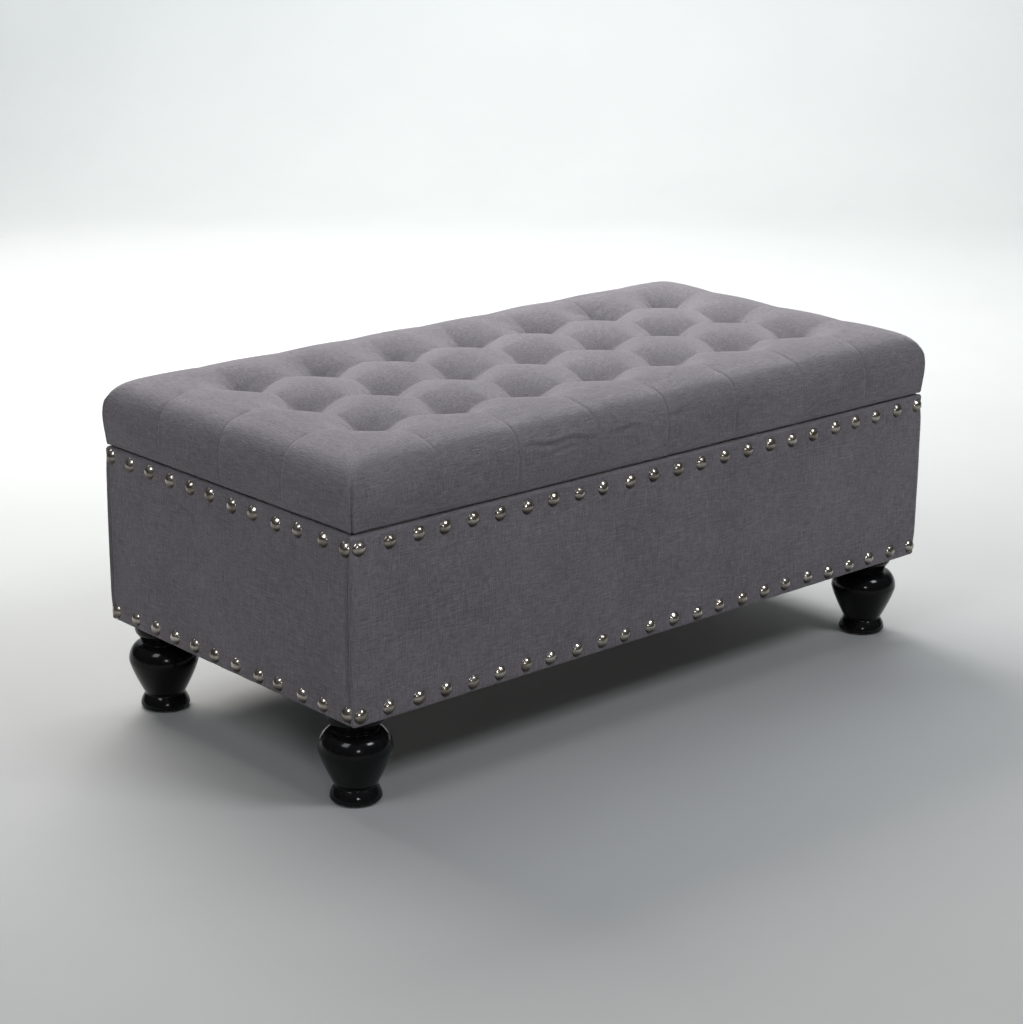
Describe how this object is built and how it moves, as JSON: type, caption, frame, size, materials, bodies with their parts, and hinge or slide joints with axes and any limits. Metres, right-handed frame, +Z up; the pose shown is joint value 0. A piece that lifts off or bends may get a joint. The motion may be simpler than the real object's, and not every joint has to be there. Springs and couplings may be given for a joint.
{
  "type": "storage ottoman",
  "caption": "Long upholstered storage ottoman: nail-trimmed fabric box on turned legs, closed by a thick tufted lid on back hinges and folding stays.",
  "frame": {"origin": "on the floor, below the middle of the box", "axes": "+X to the right along the box's length, +Y towards the hinged back, +Z up"},
  "size_m": [1.0292, 0.5212, 0.447],
  "materials": {
    "upholstery_fabric": "matte",
    "lining_fabric": "matte",
    "dust_cover_fabric": "matte",
    "plywood": "matte",
    "softwood": "matte",
    "leg_lacquer": "gloss",
    "nail_metal": "polished",
    "hinge_steel": "satin",
    "stay_steel": "satin",
    "rivet_steel": "satin",
    "screw_steel": "satin",
    "foam": "matte",
    "glide_plastic": "satin",
    "anchor_plastic": "satin",
    "twine": "matte"
  },
  "bodies": {
    "base": {"front_panel": "plywood", "back_panel": "plywood", "left_end_panel": "plywood", "right_end_panel": "plywood", "floor_panel": "plywood", "front_rail": "softwood", "back_rail": "softwood", "centre_rail": "softwood", "leg_block_front_left": "softwood", "leg_block_front_right": "softwood", "leg_block_back_left": "softwood", "leg_block_back_right": "softwood", "panel_screws": "screw_steel", "cover_front": "upholstery_fabric", "cover_back": "upholstery_fabric", "cover_left": "upholstery_fabric", "cover_right": "upholstery_fabric", "nails_front": "nail_metal", "nails_back": "nail_metal", "nails_left": "nail_metal", "nails_right": "nail_metal", "wall_lining": "lining_fabric", "floor_lining": "lining_fabric", "dust_cover": "dust_cover_fabric", "leg_front_left": "leg_lacquer", "leg_front_right": "leg_lacquer", "leg_back_left": "leg_lacquer", "leg_back_right": "leg_lacquer", "hanger_bolts": "screw_steel", "tee_nuts": "screw_steel", "glides": "glide_plastic", "hinge_box_leaf_left": "hinge_steel", "hinge_box_leaf_right": "hinge_steel", "hinge_pins": "hinge_steel", "hinge_box_screws": "screw_steel", "stay_wall_bracket_left": "stay_steel", "stay_wall_bracket_right": "stay_steel", "stay_wall_rivets": "rivet_steel", "stay_wall_screws": "screw_steel"},
    "lid": {"lid_board": "plywood", "lid_foam": "foam", "lid_cover": "upholstery_fabric", "lid_lining": "lining_fabric", "tuft_buttons": "upholstery_fabric", "tuft_ties": "twine", "tuft_anchors": "anchor_plastic", "hinge_lid_leaf_left": "hinge_steel", "hinge_lid_leaf_right": "hinge_steel", "hinge_lid_screws": "screw_steel", "stay_lid_bracket_left": "stay_steel", "stay_lid_bracket_right": "stay_steel", "stay_lid_rivets": "rivet_steel", "stay_lid_screws": "screw_steel"},
    "left_lower_arm": {"stay_lower_arm_left": "stay_steel", "stay_elbow_rivet_left": "rivet_steel"},
    "left_upper_arm": {"stay_upper_arm_left": "stay_steel"},
    "right_lower_arm": {"stay_lower_arm_right": "stay_steel", "stay_elbow_rivet_right": "rivet_steel"},
    "right_upper_arm": {"stay_upper_arm_right": "stay_steel"}
  },
  "joints": [
    {"name": "lid_hinge", "type": "hinge", "parent": "base", "child": "lid", "pos_m": [0, 0.2574, 0.3565], "axis": [-1, 0, 0], "range_deg": [0, 95]},
    {"name": "left_stay_lower_pivot", "type": "hinge", "parent": "base", "child": "left_lower_arm", "pos_m": [-0.4892, 0.22, 0.22159], "axis": [-1, 0, 0], "range_deg": [0, 95]},
    {"name": "left_stay_elbow_pivot", "type": "hinge", "parent": "left_lower_arm", "child": "left_upper_arm", "pos_m": [-0.4869, 0.08056, 0.20909], "axis": [-1, 0, 0], "range_deg": [-95, 0]},
    {"name": "right_stay_lower_pivot", "type": "hinge", "parent": "base", "child": "right_lower_arm", "pos_m": [0.4892, 0.22, 0.22159], "axis": [-1, 0, 0], "range_deg": [0, 95]},
    {"name": "right_stay_elbow_pivot", "type": "hinge", "parent": "right_lower_arm", "child": "right_upper_arm", "pos_m": [0.4869, 0.08056, 0.20909], "axis": [-1, 0, 0], "range_deg": [-95, 0]}
  ],
  "couplings": [
    {"joint": "left_stay_lower_pivot", "follows": "lid_hinge", "ratio": 1},
    {"joint": "left_stay_elbow_pivot", "follows": "lid_hinge", "ratio": -1},
    {"joint": "right_stay_lower_pivot", "follows": "lid_hinge", "ratio": 1},
    {"joint": "right_stay_elbow_pivot", "follows": "lid_hinge", "ratio": -1}
  ]
}
